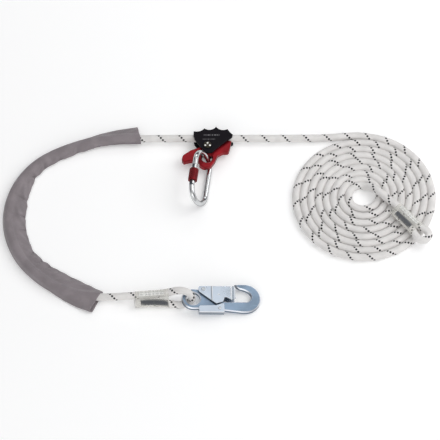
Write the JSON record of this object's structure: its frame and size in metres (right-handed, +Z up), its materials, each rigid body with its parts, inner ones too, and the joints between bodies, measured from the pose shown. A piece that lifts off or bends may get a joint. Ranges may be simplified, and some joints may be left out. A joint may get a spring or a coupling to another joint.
{
  "type": "rope grab",
  "caption": "Cam rope grab on a work-positioning lanyard with a screw-gate carabiner, sliding fabric protector, coiled rope and self-locking snap hook.",
  "frame": {"origin": "on the floor under the middle of the grab and its carabiner", "axes": "+X along the stretch of rope that the grab slides on, towards the coil; +Y across it, from the carabiner to the rope; +Z up from the floor"},
  "size_m": [0.793, 0.3898, 0.0572],
  "materials": {
    "rope": "braided polyamide kernmantle sheath, warm white with one dark tracer",
    "protector": "mauve-grey woven tubular webbing, matt",
    "clear_sleeve": "clear heat-shrink sleeve, slightly hazy",
    "stitching": "dark grey bar-tack stitching",
    "label": "white printed foil label, matt",
    "black_alloy": "black anodised alloy, satin",
    "pivot_steel": "zinc-plated turned steel with a faint gold tint",
    "red_alloy": "red anodised alloy, satin",
    "bronze": "sintered bronze",
    "spring_steel": "drawn spring steel",
    "carabiner_steel": "polished zinc-plated steel",
    "red_sleeve": "red anodised and knurled alloy",
    "hook_zinc": "bluish zinc-plated forged steel",
    "hook_sheet": "zinc-plated pressed sheet"
  },
  "bodies": {
    "rope": {"rope_line": "rope", "rope_coil": "rope", "rope_end": "rope", "rope_protector": "protector", "hook_splice_sleeve": "clear_sleeve", "hook_splice_stitching": "stitching", "hook_splice_label": "label", "end_splice_sleeve": "clear_sleeve", "end_splice_stitching": "stitching", "end_splice_label": "label"},
    "grab": {"grab_body": "black_alloy", "pivot_bolt": "pivot_steel", "pivot_nut": "pivot_steel", "pivot_spacers": "pivot_steel", "cam_spring": "spring_steel"},
    "cam": {"cam_lever": "red_alloy", "cam_bushing": "bronze"},
    "carabiner": {"carabiner_body": "carabiner_steel", "gate_hinge_pin": "spring_steel"},
    "carabiner_gate": {"carabiner_gate": "carabiner_steel", "gate_latch_pin": "spring_steel", "gate_plunger": "spring_steel", "gate_return_spring": "spring_steel"},
    "screw_sleeve": {"screw_sleeve": "red_sleeve"},
    "hook": {"hook_body": "hook_zinc", "hook_gate_rivet": "pivot_steel", "hook_lever_rivet": "pivot_steel", "hook_gate_spring": "spring_steel", "hook_lever_spring": "spring_steel"},
    "hook_gate": {"hook_gate": "hook_sheet"},
    "hook_lever": {"hook_lock_lever": "hook_sheet"}
  },
  "joints": [
    {"name": "grab_slide", "type": "slide", "parent": "rope", "child": "grab", "axis": [1, 0, 0], "range_m": [-0.055, 0.085]},
    {"name": "cam_pivot", "type": "hinge", "parent": "grab", "child": "cam", "pos_m": [0, 0.0405, 0.00409], "axis": [0, -0.0958, -0.9954], "range_deg": [0, 20], "stiffness_Nm_per_rad": 1.2, "springref_deg": -8.59, "deforming": ["cam_spring"]},
    {"name": "carabiner_swing", "type": "hinge", "parent": "cam", "child": "carabiner", "pos_m": [-0.00928, -0.0031, 0.02686], "axis": [-0.8671, 0.1142, -0.4848], "range_deg": [0, 25]},
    {"name": "carabiner_gate_hinge", "type": "hinge", "parent": "carabiner", "child": "carabiner_gate", "pos_m": [-0.02782, -0.05109, 0.04873], "axis": [-0.8671, 0.1142, -0.4848], "range_deg": [0, 25], "stiffness_Nm_per_rad": 0.15, "springref_deg": -17.19, "deforming": ["gate_return_spring"]},
    {"name": "sleeve_screw", "type": "slide", "parent": "carabiner_gate", "child": "screw_sleeve", "axis": [-0.1305, -0.9914, 0], "range_m": [-0.011, 0]},
    {"name": "hook_swing", "type": "hinge", "parent": "rope", "child": "hook", "pos_m": [-0.026, -0.277, 0.0176], "axis": [0.1096, 0.0056, 0.994], "range_deg": [-15, 15]},
    {"name": "hook_gate_hinge", "type": "hinge", "parent": "hook", "child": "hook_gate", "pos_m": [-0.00801, -0.25877, 0.01551], "axis": [-0.1096, -0.0056, -0.994], "range_deg": [0, 22], "stiffness_Nm_per_rad": 0.3, "springref_deg": -17.19, "deforming": ["hook_gate_spring"]},
    {"name": "hook_lever_hinge", "type": "hinge", "parent": "hook", "child": "hook_lever", "pos_m": [0.02198, -0.2949, 0.01241], "axis": [-0.1096, -0.0056, -0.994], "range_deg": [0, 6], "stiffness_Nm_per_rad": 0.2, "springref_deg": -11.46, "deforming": ["hook_lever_spring"]}
  ]
}
